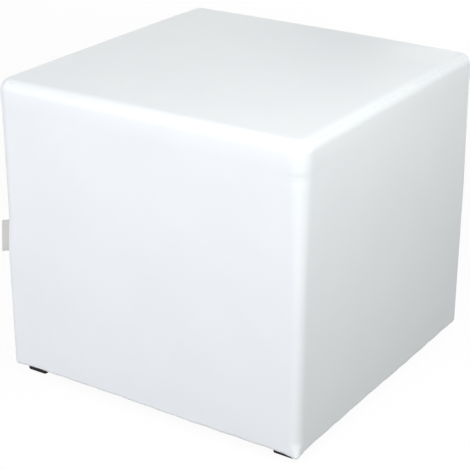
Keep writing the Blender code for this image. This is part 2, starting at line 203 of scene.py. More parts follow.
def bandGrid(sides, profile, droop=1.0):
    # rows go down a profile and columns round the plan; sides pairs a side with its shares
    depth, level = np.array(profile).T
    columns = []
    for side, shares in sides:
        for share in shares:
            x, y = planPoint(side, share, depth, level)
            z = settled(x, y, level) + hemShift(x, y, level, droop)
            columns.append(np.stack([x, y, z], -1))
    return np.stack(columns, 1)


def gridNormals(grid):
    normals = np.cross(np.gradient(grid, axis=0), np.gradient(grid, axis=1))
    normals /= np.maximum(np.linalg.norm(normals, axis=-1, keepdims=True), 1e-12)
    return normals * np.sign(np.mean(np.sum(normals * (grid - insidePoint), -1)))


def roundPlace(grid):
    # how far round the pouf a point lies, from the middle of the front
    x, y = grid[..., 0], grid[..., 1]
    side = 2 * form["half"]
    place = np.where(y < 0, x, 2 * side - x)
    place = np.where(np.abs(x) > np.abs(y), np.where(x > 0, side + y, 3 * side - y), place)
    return place % (4 * side)


def fromPlainCorner(place):
    # how far round the pouf, from the nearest corner without a seam
    away = (place - form["half"]) % (4 * form["half"])
    return np.minimum(away, 4 * form["half"] - away)


def fromCorner(grid):
    return form["half"] - np.minimum(np.abs(grid[..., 0]), np.abs(grid[..., 1]))


def fromEdge(x, y):
    return form["half"] - np.maximum(np.abs(x), np.abs(y))


def softWaves(grid, length, seed, count=9):
    draws = np.random.default_rng(seed)
    total = 0
    for wave in range(count):
        heading = draws.normal(size=3)
        heading /= np.linalg.norm(heading)
        size = length * draws.uniform(0.6, 1.6)
        total = total + np.sin(grid @ heading * (2 * math.pi / size) + draws.uniform(0, 6.3))
    return total / math.sqrt(count)


def gridFaces(rows, columns, start=0):
    index = np.arange(rows * columns).reshape(rows, columns) + start
    return np.stack([index[:-1, :-1], index[:-1, 1:], index[1:, 1:], index[1:, :-1]],
                    -1).reshape(-1, 4)


def tubeFaces(rings, columns, start=0, closed=False):
    # faces between rings that close on themselves, and from the last ring to the first
    index = np.arange(rings * columns).reshape(rings, columns) + start
    if closed:
        index = np.concatenate([index, index[:1]])
    after = np.roll(index, -1, axis=1)
    return np.stack([index[:-1], after[:-1], after[1:], index[1:]], -1).reshape(-1, 4)


def roundRing(radius, level, columns):
    angles = [2 * math.pi * index / columns for index in range(columns)]
    return [(radius * math.cos(angle), radius * math.sin(angle), level) for angle in angles]


def squareTo(line):
    # unit vectors square to a line drawn on a plane
    along = np.gradient(line, axis=0)
    along /= np.linalg.norm(along, axis=1, keepdims=True)
    return np.stack([along[:, 1], -along[:, 0]], -1)


def meshPiece(name, points, faces, smoothAngle=None):
    mesh = bpy.data.meshes.new(name)
    mesh.from_pydata(np.asarray(points).reshape(-1, 3).tolist(), [],
                     [list(map(int, face)) for face in faces])
    shape = bmesh.new()
    shape.from_mesh(mesh)
    bmesh.ops.remove_doubles(shape, verts=shape.verts, dist=1e-6)
    bmesh.ops.recalc_face_normals(shape, faces=shape.faces)
    shape.to_mesh(mesh)
    shape.free()
    mesh.shade_smooth()
    if smoothAngle:
        mesh.set_sharp_from_angle(angle=math.radians(smoothAngle))
    return addObject(name, mesh)


def shellPiece(name, outer, inner, smoothAngle=None):
    # two grids of the same size, joined round their borders into one closed skin
    rows, columns = outer.shape[:2]
    count = rows * columns
    index = np.arange(count).reshape(rows, columns)
    border = np.concatenate([index[0, :-1], index[:-1, -1], index[-1, :0:-1], index[:0:-1, 0]])
    after = np.roll(border, -1)
    rim = np.stack([border, after, after + count, border + count], -1)
    faces = np.concatenate([gridFaces(rows, columns), gridFaces(rows, columns, count), rim])
    return meshPiece(name, np.concatenate([outer.reshape(-1, 3), inner.reshape(-1, 3)]), faces,
                     smoothAngle)


def dress(piece, material, slot, *nodes):
    piece.data.materials.clear()
    piece.data.materials.append(material)
    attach(piece, "root")
    if nodes:
        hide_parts(*nodes)
    return piece


# Cloth that swells a little over its padding, between the lines where it is sewn or stapled

slack = {
    "pressure": 4.0,
    "steps": 20,
    "quality": 6,
    "mass": 0.3,
    "stiffness": 40,
    "bending": 2,
    "spare": 0.004,                 # how much larger the cloth is than its place
    "swell": 0.5 * mm,              # the furthest that a point may move outwards
    "give": 0.25 * mm,              # and inwards
}


def readVertices(mesh, what="co"):
    values = np.zeros(len(mesh.vertices) * 3)
    mesh.vertices.foreach_get(what, values)
    return values.reshape(-1, 3)


def simulateSlack(name, grid, held):
    normals = gridNormals(grid)
    piece = meshPiece(name, grid, gridFaces(*grid.shape[:2]))
    mesh = piece.data
    if np.sum(readVertices(mesh, "normal") * (readVertices(mesh) - insidePoint)) < 0:
        mesh.flip_normals()
    group = piece.vertex_groups.new(name="held")
    group.add([int(index) for index in np.flatnonzero(held.reshape(-1))], 1.0, "REPLACE")
    cloth = piece.modifiers.new("slack", "CLOTH")
    cloth.point_cache.frame_start = 1
    cloth.point_cache.frame_end = slack["steps"]
    values = cloth.settings
    values.quality, values.mass = slack["quality"], slack["mass"]
    values.tension_stiffness = values.compression_stiffness = slack["stiffness"]
    values.shear_stiffness = slack["stiffness"] / 2
    values.bending_stiffness = slack["bending"]
    values.vertex_group_mass = "held"
    values.use_pressure = True
    values.uniform_pressure_force = slack["pressure"]
    values.shrink_min = -slack["spare"]
    values.effector_weights.gravity = 0
    for step in range(1, slack["steps"] + 1):
        scene.frame_set(step)
    settledMesh = piece.evaluated_get(bpy.context.evaluated_depsgraph_get()).to_mesh()
    end = readVertices(settledMesh).reshape(grid.shape)
    scene.frame_set(1)
    bpy.data.objects.remove(piece, do_unlink=True)
    moved = np.sum((end - grid) * normals, -1)
    print(name, "moved", round(moved.min() / mm, 2), "to", round(moved.max() / mm, 2), "mm")
    cap = np.where(moved > 0, slack["swell"], slack["give"])
    return cap * np.tanh(moved / cap)


print("form ready")

# Finishes


def addNode(tree, kind, **values):
    node = tree.nodes.new(kind)
    node.location = (-180 * (len(tree.nodes) % 9), -240 * (len(tree.nodes) // 9))
    for name, value in values.items():
        setattr(node, name, value)
    return node


def feed(tree, socket, value):
    # a socket takes another socket's output, a number or a colour
    if isinstance(value, bpy.types.NodeSocket):
        tree.links.new(value, socket)
    elif isinstance(value, tuple) and socket.type == "RGBA":
        socket.default_value = (*value[:3], 1)
    elif value is not None:
        socket.default_value = value


def feedAll(tree, sockets, **values):
    for name, value in values.items():
        feed(tree, sockets[name.replace("_", " ")], value)


def mathNode(tree, operation, first, second=None, clamp=False):
    node = addNode(tree, "ShaderNodeMath", operation=operation, use_clamp=clamp)
    feed(tree, node.inputs[0], first)
    feed(tree, node.inputs[1], second)
    return node.outputs[0]


def rangeNode(tree, value, low, high, newLow=0.0, newHigh=1.0):
    node = addNode(tree, "ShaderNodeMapRange", interpolation_type="SMOOTHSTEP")
    for socket, given in zip(node.inputs, (value, low, high, newLow, newHigh)):
        feed(tree, socket, given)
    return node.outputs["Result"]


def mixColour(tree, share, first, second):
    node = addNode(tree, "ShaderNodeMix", data_type="RGBA")
    feedAll(tree, node.inputs, Factor=share, A=first, B=second)
    return node.outputs["Result"]


def noiseNode(tree, vector, scale, detail=3.0, roughness=0.55):
    node = addNode(tree, "ShaderNodeTexNoise")
    feedAll(tree, node.inputs, Vector=vector, Scale=scale, Detail=detail, Roughness=roughness)
    return node.outputs["Fac"]


def cellsNode(tree, vector, scale, feature):
    node = addNode(tree, "ShaderNodeTexVoronoi", feature=feature)
    feedAll(tree, node.inputs, Vector=vector, Scale=scale)
    return node


def vectorNode(tree, operation, *values):
    node = addNode(tree, "ShaderNodeVectorMath", operation=operation)
    for socket, value in zip(node.inputs, values):
        feed(tree, socket, value)
    return node.outputs[0]


def splitNode(tree, vector):
    node = addNode(tree, "ShaderNodeSeparateXYZ")
    feed(tree, node.inputs[0], vector)
    return node.outputs


def newGroup(name, inputs, outputs):
    # a shader node group; each has a Vector, and its other inputs are numbers or colours
    tree = bpy.data.node_groups.new(name, "ShaderNodeTree")
    tree.interface.new_socket(name="Vector", in_out="INPUT", socket_type="NodeSocketVector")
    for label, value in inputs.items():
        kind = "NodeSocketColor" if isinstance(value, tuple) else "NodeSocketFloat"
        tree.interface.new_socket(name=label, in_out="INPUT",
                                  socket_type=kind).default_value = value
    for label in outputs:
        kind = "NodeSocketColor" if label == "Colour" else "NodeSocketFloat"
        tree.interface.new_socket(name=label, in_out="OUTPUT", socket_type=kind)
    given = tree.nodes.new("NodeGroupInput").outputs
    return tree, given, given["Vector"], tree.nodes.new("NodeGroupOutput").inputs


# pebbled skin, as pressed into leatherette
leatherGrain, given, spot, wanted = newGroup(
    "leatherGrain", {"Pebbles per metre": 900.0, "Pores": 0.25}, ("Height", "Valleys"))
tree = leatherGrain
bend = vectorNode(tree, "MULTIPLY_ADD", noiseNode(tree, spot, 260.0, 2.0),
                  (0.0009, 0.0011, 0.0010), spot)
cells = cellsNode(tree, bend, given["Pebbles per metre"], "DISTANCE_TO_EDGE")
pebble = rangeNode(tree, cells.outputs["Distance"], 0.0, 0.32)
pores = mathNode(tree, "MULTIPLY", noiseNode(tree, spot, 2600.0, 2.0), given["Pores"])
feedAll(tree, wanted, Height=mathNode(tree, "ADD", pebble, pores),
        Valleys=mathNode(tree, "SUBTRACT", 1.0, pebble))

# slow change of a colour over a surface
mottle, given, spot, wanted = newGroup(
    "mottle", {"Colour": (1, 1, 1, 1), "Second colour": (0, 0, 0, 1), "Patches per metre": 8.0},
    ("Colour",))
tree = mottle
patches = rangeNode(tree, noiseNode(tree, spot, given["Patches per metre"], 4.0), 0.3, 0.7)
feed(tree, wanted["Colour"], mixColour(tree, patches, given["Colour"], given["Second colour"]))

# growth rings and pores of wood; the vector comes stretched along the grain
woodFigure, given, spot, wanted = newGroup(
    "woodFigure", {"Pale": (1, 1, 1, 1), "Dark": (0, 0, 0, 1), "Rings per metre": 90.0},
    ("Colour", "Height"))
tree = woodFigure
rings = addNode(tree, "ShaderNodeTexWave", wave_type="RINGS", rings_direction="SPHERICAL",
                wave_profile="SAW")
feedAll(tree, rings.inputs, Vector=spot, Scale=given["Rings per metre"], Distortion=5.0,
        Detail=3.0, Detail_Scale=1.4)
lines = noiseNode(tree, spot, 900.0, 4.0, 0.7)
figure = mathNode(tree, "ADD", mathNode(tree, "MULTIPLY", rings.outputs["Fac"], 0.6),
                  mathNode(tree, "MULTIPLY", lines, 0.4), True)
feedAll(tree, wanted, Colour=mixColour(tree, figure, given["Pale"], given["Dark"]),
        Height=figure)

# open cells of cut foam, and a mask of the cell hollows that is used for painted shade
foamCells, given, spot, wanted = newGroup("foamCells", {"Cells per metre": 1200.0},
                                          ("Height", "Holes"))
tree = foamCells
cells = cellsNode(tree, spot, given["Cells per metre"], "F1")
walls = rangeNode(tree, cells.outputs["Distance"], 0.15, 0.55)
feedAll(tree, wanted, Height=walls, Holes=mathNode(tree, "SUBTRACT", 1.0, walls))

# loose or pressed fibres that lie every way
fibreMat, given, spot, wanted = newGroup("fibreMat", {"Fibres per metre": 500.0},
                                         ("Height", "Clumps"))
tree = fibreMat
fibres = 0.0
for heading in ((1.0, 0.12, 0.5), (0.12, 1.0, 0.5), (0.6, 0.7, 0.12)):
    strand = noiseNode(tree, vectorNode(tree, "MULTIPLY", spot, heading),
                       given["Fibres per metre"], 3.0, 0.7)
    fibres = mathNode(tree, "MAXIMUM", fibres, strand)
feedAll(tree, wanted, Height=rangeNode(tree, fibres, 0.45, 0.75),
        Clumps=rangeNode(tree, noiseNode(tree, spot, 90.0), 0.3, 0.7))

# fine texture of a moulded or plated part
fineTexture, given, spot, wanted = newGroup("fineTexture", {"Specks per metre": 1800.0},
                                            ("Height",))
feed(fineTexture, wanted["Height"],
     noiseNode(fineTexture, spot, given["Specks per metre"], 3.0, 0.6))


def newFinish(name, colour, roughness, metallic=0.0):
    material = bpy.data.materials.new(name)
    material.use_nodes = True
    tree = material.node_tree
    shader = tree.nodes["Principled BSDF"].inputs
    feedAll(tree, shader, Base_Color=colour, Roughness=roughness, Metallic=metallic)
    return material, tree, shader, addNode(tree, "ShaderNodeTexCoord").outputs["Object"]


def placeGroup(tree, group, vector, **values):
    node = addNode(tree, "ShaderNodeGroup", node_tree=group)
    feedAll(tree, node.inputs, Vector=vector, **values)
    return node.outputs


def bumpNode(tree, height, depth, strength=1.0, under=None):
    node = addNode(tree, "ShaderNodeBump")
    feedAll(tree, node.inputs, Height=height, Distance=depth, Strength=strength, Normal=under)
    return node.outputs["Normal"]


leatherette = {
    "colour": (0.848, 0.882, 0.893),
    "second": (0.832, 0.868, 0.881),
    "smoothest": 0.40,
    "roughest": 0.46,
    "grainDepth": 0.018 * mm,
}
whiteLeatherette, tree, shader, spot = newFinish("whiteLeatherette", leatherette["colour"], 0.42)
tone = placeGroup(tree, mottle, spot, Colour=leatherette["colour"],
                  Second_colour=leatherette["second"], Patches_per_metre=9.0)
grain = placeGroup(tree, leatherGrain, spot, Pebbles_per_metre=950.0, Pores=0.2)
feedAll(tree, shader, Base_Color=tone["Colour"],
        Roughness=rangeNode(tree, grain["Valleys"], 0.0, 1.0, leatherette["smoothest"],
                            leatherette["roughest"]),
        Normal=bumpNode(tree, grain["Height"], leatherette["grainDepth"], 0.8))

wovenRibbon, tree, shader, spot = newFinish("wovenRibbon", (0.66, 0.65, 0.63), 0.8)
ribs = 1.0
for direction, scale in (("Z", 900.0), ("DIAGONAL", 700.0)):
    weave = addNode(tree, "ShaderNodeTexWave", wave_type="BANDS", bands_direction=direction)
    feedAll(tree, weave.inputs, Vector=spot, Scale=scale)
    ribs = mathNode(tree, "MULTIPLY", weave.outputs["Fac"], ribs)
feedAll(tree, shader, Base_Color=mixColour(tree, ribs, (0.61, 0.60, 0.58), (0.71, 0.70, 0.68)),
        Normal=bumpNode(tree, ribs, 0.08 * mm, 0.8))

cutFoam, tree, shader, spot = newFinish("cutFoam", (0.80, 0.74, 0.50), 0.95)
cellular = placeGroup(tree, foamCells, spot, Cells_per_metre=1300.0)
aged = placeGroup(tree, mottle, spot, Colour=(0.82, 0.76, 0.52), Second_colour=(0.76, 0.69, 0.44),
                  Patches_per_metre=14.0)
# the foam's colour, made darker in the cell hollows by painted shade
feedAll(tree, shader,
        Base_Color=mixColour(tree, cellular["Holes"], aged["Colour"], (0.66, 0.59, 0.36)),
        Normal=bumpNode(tree, cellular["Height"], 0.3 * mm, 0.7))

whiteWadding, tree, shader, spot = newFinish("whiteWadding", (0.88, 0.88, 0.86), 0.95)
fluff = placeGroup(tree, fibreMat, spot, Fibres_per_metre=650.0)
feedAll(tree, shader,
        Base_Color=mixColour(tree, fluff["Clumps"], (0.84, 0.84, 0.82), (0.91, 0.91, 0.90)),
        Normal=bumpNode(tree, fluff["Height"], 0.5 * mm, 0.8))

blackNonWoven, tree, shader, spot = newFinish("blackNonWoven", (0.015, 0.015, 0.016), 0.9)
pressed = placeGroup(tree, fibreMat, spot, Fibres_per_metre=900.0)
dots = cellsNode(tree, spot, 420.0, "F1")
dots.voronoi_dimensions = "2D"
feed(tree, dots.inputs["Randomness"], 0.0)
points = rangeNode(tree, dots.outputs["Distance"], 0.15, 0.3)
feedAll(tree, shader, Base_Color=mixColour(tree, pressed["Height"], (0.010, 0.010, 0.011),
                                           (0.030, 0.030, 0.032)),
        Normal=bumpNode(tree, points, 0.08 * mm, 0.7,
                        bumpNode(tree, pressed["Height"], 0.06 * mm, 0.6)))


def speckledFinish(name, dark, pale, roughness, metallic, specks):
    material, tree, shader, spot = newFinish(name, dark, roughness[0], metallic)
    height = placeGroup(tree, fineTexture, spot, Specks_per_metre=specks)["Height"]
    feedAll(tree, shader, Base_Color=mixColour(tree, height, dark, pale),
            Roughness=rangeNode(tree, height, 0.3, 0.7, *roughness))
    return material, tree, shader, height


blackPlastic, tree, shader, height = speckledFinish(
    "blackPlastic", (0.005, 0.005, 0.006), (0.010, 0.010, 0.011), (0.55, 0.7), 0.0, 2200.0)
shader["Specular IOR Level"].default_value = 0.2
feed(tree, shader["Normal"], bumpNode(tree, height, 0.05 * mm, 0.5))
zincSteel = speckledFinish("zincSteel", (0.58, 0.58, 0.56), (0.68, 0.68, 0.66), (0.28, 0.45),
                           1.0, 1500.0)[0]


def woodFinish(name, grainAxis, pale, dark, rings):
    material, tree, shader, spot = newFinish(name, pale, 0.72)
    stretch = tuple(0.06 if axis == grainAxis else 1.0 for axis in range(3))
    figure = placeGroup(tree, woodFigure, vectorNode(tree, "MULTIPLY", spot, stretch), Pale=pale,
                        Dark=dark, Rings_per_metre=rings)
    feedAll(tree, shader, Base_Color=figure["Colour"],
            Roughness=rangeNode(tree, figure["Height"], 0.0, 1.0, 0.66, 0.8),
            Normal=bumpNode(tree, figure["Height"], 0.12 * mm, 0.6))
    return material, tree, shader, spot, figure["Colour"]


def plywoodFinish(name, thicknessAxis, grainAxis, node, plies):
    # plies show as dark lines on the board's edges alone
    material, tree, shader, spot, colour = woodFinish(name, grainAxis, (0.70, 0.54, 0.35),
                                                      (0.56, 0.39, 0.22), 26.0)
    low, high = (corner[thicknessAxis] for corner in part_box(node))
    height = mathNode(tree, "SUBTRACT", splitNode(tree, spot)[thicknessAxis], low)
    layer = mathNode(tree, "MULTIPLY", height, plies / 2 / (high - low))
    dark = rangeNode(tree, mathNode(tree, "PINGPONG", layer, 0.5), 0.2, 0.3)
    facing = splitNode(tree, addNode(tree, "ShaderNodeNewGeometry").outputs["True Normal"])
    edge = mathNode(tree, "LESS_THAN", mathNode(tree, "ABSOLUTE", facing[thicknessAxis]), 0.5)
    feed(tree, shader["Base Color"], mixColour(tree, mathNode(tree, "MULTIPLY", dark, edge),
                                               colour, (0.42, 0.27, 0.14)))
    return material


print("finishes ready")

# Cover: a top panel and two lengths of side band, sewn together with their edges turned in

cover = {
    "rollWidth": 1.3 * mm,          # how far from a seam the cover starts to turn in
    "rollDepth": 0.32 * mm,
    "seamSlit": 0.02 * mm,          # half the slit of a seam
    "puckerPitch": 16.5 * mm,
    "puckerDepth": 0.24 * mm,
    "puckerReach": 9 * mm,
    "wallFullness": 0.5 * mm,       # how far the walls stand out below the seat pad
    "creaseWidth": 3 * mm,          # of the short crease under the pad at each corner
    "creaseDepth": 0.252 * mm,
    "creaseDrop": 6 * mm,           # how far it lies below the pad's lower edge
    "swellWidth": 6 * mm,           # of the soft swell below that crease
    "swellDepth": 0.15 * mm,
    "swellDrop": 14 * mm,
    "cornerReach": 25 * mm,
    "foldPlace": 7 * mm,            # of the crease under the roll, past a plain corner
    "foldReach": 11 * mm,
    "foldWidth": 2 * mm,
    "foldDepth": 0.45 * mm,
    "waveDepth": 0.2 * mm,
    "topSlack": 0.5,                # share of its slack that the top panel keeps
    "stitchPull": 11 * mm,          # pitch of the pulls along an upright seam
    "stitchDepth": 0.084 * mm,
    "stitchReach": 5 * mm,
    "staplePitch": 45 * mm,
    "scallopDepth": 0.5 * mm,       # how far a staple draws the hem in
    "scallopReach": 7 * mm,
    "pleatPlaces": (-9.5 * mm, -3.2 * mm, 3.6 * mm, 9.0 * mm),
    "pleatWidths": (0.72727 * mm, 2 * mm),
    "pleatHeight": 0.3 * mm,
}
seamGaps = [cover["seamSlit"] + share * cover["rollWidth"]
            for share in (0.0, 0.06, 0.16, 0.35, 0.65, 1.0)]


def rollIn(distance):
    share = np.clip(distance / cover["rollWidth"], 0, 1)
    return cover["rollDepth"] * (1 - np.sqrt(1 - (1 - share) ** 2))


def topEdgePoint(angle, under=0.0, drop=0.0):
    radius = form["topEdgeRound"] - under - drop
    return (form["topEdgeRound"] - radius * math.cos(angle) - form["padFullness"],
            topArcLevel + radius * math.sin(angle))


def seamRows(sign, under):
    # from the seam at the middle of the rounded edge, upwards or downwards
    angles = [quarter / 2 + sign * gap / form["topEdgeRound"] for gap in seamGaps]
    rows = [topEdgePoint(angle, under, 0.0 if under else rollIn(gap - cover["seamSlit"]))
            for angle, gap in zip(angles, seamGaps)]
    rest = np.linspace(angles[-1], quarter if sign > 0 else 0.0, 6)[1:]
    return rows + [topEdgePoint(angle, under) for angle in rest]


def spread(first, last, step):
    count = max(round(abs(last - first) / step), 1)
    return [first + (last - first) * index / count for index in range(1, count + 1)]


def topProfile(under):
    depths = [depth * mm for depth in (16, 17.5, 19.5, 22, 24.5, 27)]
    depths += spread(depths[-1], form["half"], 5.2 * mm)
    return (seamRows(1, under) + [(depth, topLevel - under) for depth in depths])[::-1]


def puckers(grid, seed):
    place = roundPlace(grid)
    swing = softWaves(grid, 60 * mm, seed)
    return (np.sin(place * (2 * math.pi / cover["puckerPitch"]) + 1.3 * swing)
            * (0.6 + 0.4 * np.sin(place * (2 * math.pi / (43 * mm)) + swing)))


outer = capGrid(topProfile(0.0))
inner = capGrid(topProfile(form["skin"]))
normals = gridNormals(outer)
rim = outer.shape[0] // 2
index = np.abs(np.arange(-rim, rim + 1))
held = np.maximum(*np.meshgrid(index, index)) > rim - len(seamGaps) - 2
fromRim = fromEdge(outer[..., 0], outer[..., 1])
calm = cover["topSlack"] * smooth(15 * mm, 70 * mm, fromRim)
relief = simulateSlack("top slack", outer, held) * calm
relief += cover["waveDepth"] * softWaves(outer, 120 * mm, 3) * smooth(6 * mm, 40 * mm, fromRim)
relief += cover["puckerDepth"] * puckers(outer, 5) * bell(fromRim, cover["puckerReach"], 1)
move = normals * relief[..., None]
coverTop = dress(shellPiece("cover_top_panel", outer + move, inner + move), whiteLeatherette,
                 "leatherette", "cover_top")
print("top panel ready")


def wallBulge(level):
    # how far the side stands out: full over the seat pad, easing slowly below it
    share = np.clip((level - padLow) / (topArcLevel - padLow), 0, 1)
    full = form["padFullness"] + 0.3 * mm * np.sin(math.pi * share)
    ease = smooth(-45 * mm, 9 * mm, level - padLow)
    return full * ease + cover["wallFullness"] * (1 - ease)


def bandProfile(under):
    levels = [topArcLevel - offset * mm for offset in (0.8, 1.6, 2.4, 3.4, 4.6)]
    levels += spread(levels[-1], padLow + 6 * mm, 3 * mm)
    levels += [padLow + offset * mm for offset in (4.6, 3.4, 2.4, 1.5, 0.7, 0, -0.7, -1.5, -2.4,
                                                   -3.4, -4.6, -6.2, -8.4, -11.5, -15.5)]
    levels += spread(levels[-1], hemLow + 26 * mm, 6.5 * mm)
    levels += [hemLow + offset * mm for offset in (22, 18.5, 15.5, 12.8, 10.4, 8.2, 6.2)]
    rows = seamRows(-1, under)
    rows += [(under - float(wallBulge(level)), level) for level in levels]
    radius = form["hemRound"] - under
    rows += [(form["hemRound"] - radius * math.cos(angle) - cover["wallFullness"],
              hemArcLevel - radius * math.sin(angle)) for angle in np.linspace(0, quarter, 8)]
    rows += [(depth * mm, hemLow + under)
             for depth in (4.9, 5.9, 7, 8.4, 10.2, 12.5, 15.5, 19, 22.5, 26)]
    return rows + [(form["turnUnder"], hemLow + under)]


def sideShares(sewn):
    # shares from a corner to the middle of a side, closer together near the corner
    gaps = list(seamGaps) if sewn else [0.0, 0.7 * mm, 1.4 * mm]
    gaps += [gap * mm for gap in (2.1, 3.1, 4.6, 6.3, 8.4, 10.6, 12.8, 15, 17, 19.5, 22.5, 26,
                                  30)]
    gaps += spread(gaps[-1], form["half"], 5.4 * mm)
    return [1 - gap / form["half"] for gap in gaps]


def bandSides(first):
    sewn, plain = sideShares(True), sideShares(False)
    firstShares = [-share for share in sewn] + plain[::-1][1:]
    secondShares = [-share for share in plain][1:] + sewn[::-1][1:]
    return [(first, firstShares), ((first + 1) % 4, secondShares)]


def bandRelief(grid, seamDistance, seed):
    level = grid[..., 2]
    place = roundPlace(grid)
    corner = bell(fromCorner(grid), cover["cornerReach"])
    wall = smooth(hemLow, hemLow + 8 * mm, level)
    below = np.maximum(topLevel - 3 * mm - level, 0)
    relief = cover["waveDepth"] * softWaves(grid, 130 * mm, seed) * wall * (1 - 0.7 * corner)
    relief *= smooth(0, 20 * mm, topArcLevel - level)
    relief += (cover["puckerDepth"] * (0.6 + corner) * puckers(grid, 5)
               * bell(below, cover["puckerReach"], 1))
    # the pad's lower edge draws a short crease at each corner, with a soft swell below it
    away = level - padLow
    ease = corner * smooth(-55 * mm, -12 * mm, away) * smooth(4 * mm, 0, away)
    relief -= 0.4 * ease * (wallBulge(level) - 0.25 * mm)
    relief -= cover["creaseDepth"] * corner * bell(away + cover["creaseDrop"],
                                                   cover["creaseWidth"])
    relief += cover["swellDepth"] * corner * bell(away + cover["swellDrop"], cover["swellWidth"])
    # and the roll a shorter one, beside each corner that the band goes round
    aside = fromPlainCorner(place + cover["foldPlace"])
    relief -= (cover["foldDepth"] * bell(aside, cover["foldReach"], 4)
               * bell(topArcLevel + 1 * mm - level, cover["foldWidth"]))
    pull = (0.5 + 0.5 * np.cos(place * (2 * math.pi / cover["staplePitch"]))) ** 2
    relief -= (cover["scallopDepth"] * pull * (1 - corner)
               * bell(np.abs(level - hemLow - 2 * mm), cover["scallopReach"], 1))
    relief += (cover["stitchDepth"] * np.sin(level * (2 * math.pi / cover["stitchPull"]))
               * bell(seamDistance, cover["stitchReach"], 1) * wall)
    # folded corners of the turned-under edge, each pleat steeper on one side
    diagonal = (np.abs(grid[..., 0]) - np.abs(grid[..., 1])) / math.sqrt(2)
    fold = sum(bell(diagonal - middle, np.where(diagonal > middle, *cover["pleatWidths"]))
               for middle in cover["pleatPlaces"])
    under = (smooth(hemArcLevel + 2 * mm, hemLow, level)
             * smooth(34 * mm, 20 * mm, fromCorner(grid)))
    visible = 0.35 + 0.65 * smooth(7.5 * mm, 5 * mm, fromEdge(grid[..., 0], grid[..., 1]))
    return relief + cover["pleatHeight"] * fold * under * visible


for name, first, node in (("cover_band_near_corner", 0, "cover_band_front_right"),
                          ("cover_band_far_corner", 2, "cover_band_back_left")):
    sides = bandSides(first)
    outer = bandGrid(sides, bandProfile(0.0))
    inner = bandGrid(sides, bandProfile(form["skin"]))
    normals = gridNormals(outer)
    rows, columns = outer.shape[:2]
    edge = np.minimum(np.arange(columns), np.arange(columns)[::-1])
    seamDistance = np.minimum(np.linalg.norm(outer - outer[:, :1], axis=-1),
                              np.linalg.norm(outer - outer[:, -1:], axis=-1))
    held = np.zeros((rows, columns), bool)
    held[:len(seamGaps) + 2] = True
    held[-22:] = True               # the hem and what is turned under
    held[:, edge < len(seamGaps) + 1] = True
    relief = bandRelief(outer, seamDistance, 11 + first)
    # the slack fades towards the roll, the hem, the seams and the corners
    calm = (smooth(0, 70 * mm, topArcLevel - outer[..., 2])
            * smooth(5 * mm, 45 * mm, outer[..., 2] - hemLow)
            * smooth(5 * mm, 50 * mm, seamDistance) * smooth(10 * mm, 60 * mm, fromCorner(outer)))
    relief += simulateSlack(name + " slack", outer, held) * calm
    move = normals * relief[..., None]
    tuck = normals * rollIn(seamDistance)[..., None]
    band = dress(shellPiece(name, outer + move - tuck, inner + move), whiteLeatherette,
                 "leatherette", node)
print("side bands ready")

# Side tag: a ribbon folded once and caught in the front left seam, left plain

tag = {
    "layer": 0.34 * mm,
    "halfGap": 0.21 * mm,
    "into": 0.5 * mm,               # how far it goes into the seam
    "foldDepth": 0.5 * mm,
    "curl": 0.5 * mm,
    "short": 0.8 * mm,              # how much shorter it is than its solid
}


def seamPoint(level):
    return np.array([float(value) for value in planPoint(3, 1.0, 0.0, level)])


out = np.array([-1.0, -1.0]) / math.sqrt(2)
aside = np.array([1.0, -1.0]) / math.sqrt(2)
reach = float(np.dot(np.array(tagLow.xy) - seamPoint(tagLow.z), out)) - tag["short"]
places = np.linspace(-tag["into"], reach - tag["foldDepth"], 10)
path = [(place, -tag["halfGap"]) for place in places]
path += [(places[-1] + tag["foldDepth"] * math.sin(angle), -tag["halfGap"] * math.cos(angle))
         for angle in np.linspace(0, 2 * quarter, 7)[1:-1]]
path += [(place, tag["halfGap"]) for place in places[::-1]]
path = np.array(path)
grids = []
for sign in (1, -1):
    line = path + sign * tag["layer"] / 2 * squareTo(path)
    rows = []
    for share in np.linspace(0, 1, 22):
        level = tagLow.z + (tagHigh.z - tagLow.z) * share
        bend = tag["curl"] * (line[:, 0] / reach) ** 2 * math.sin(2.2 * math.pi * share + 0.6)
        flat = seamPoint(level) + line[:, :1] * out + (line[:, 1] + bend)[:, None] * aside
        rows.append(np.concatenate([flat, np.full((len(line), 1), level)], 1))
    grids.append(np.array(rows))
sideTag = dress(shellPiece("side_tag_loop", grids[0], grids[1], 60), wovenRibbon, "ribbon",
                "side_tag")

# Padding under the cover: wadding over the seat foam, and thin foam on the walls

padding = {
    "seatFill": 0.9,
    "waddingFill": 0.6,
    "sideFill": 0.7,
    "roughness": 0.12 * mm,
}


def padProfile(under):
    rows = [topEdgePoint(angle, under) for angle in np.linspace(0, quarter, 7)]
    edge = max(form["topEdgeRound"], under) + 1.5 * mm
    level = topLevel - under
    rows += [(depth, level) for depth in spread(edge, form["half"], 9 * mm)]
    return rows[::-1]


waddingUnder = form["skin"] + form["slit"]
outer = capGrid(padProfile(waddingUnder))
inner = capGrid(padProfile(waddingUnder + form["wadding"]))
fluffy = gridNormals(outer) * (padding["roughness"] * softWaves(outer, 24 * mm, 21))[..., None]
wadding = dress(shellPiece("seat_wadding_layer", outer + fluffy, inner), whiteWadding, "wadding",
                "seat_wadding")

foamUnder = waddingUnder + form["wadding"] + form["slit"]
shoulder = waddingUnder - form["padFullness"]
ledge = topArcLevel - form["slit"]
sides = [(waddingUnder, padLow), (shoulder, padLow + 4 * mm)]
sides += [(shoulder, level) for level in spread(padLow + 4 * mm, ledge, 5 * mm)]
sides += [(depth, ledge) for depth in spread(shoulder, topEdgePoint(0, foamUnder)[0], 2 * mm)]
upper = padProfile(foamUnder)[::-1]
outer = capGrid((sides + upper)[::-1])
reaches = np.linspace(form["half"], waddingUnder, len(sides + upper))
inner = capGrid([(depth, padLow) for depth in reaches])
seatFoam = dress(shellPiece("seat_foam_pad", outer, inner, 50), cutFoam, "foam", "seat_foam")

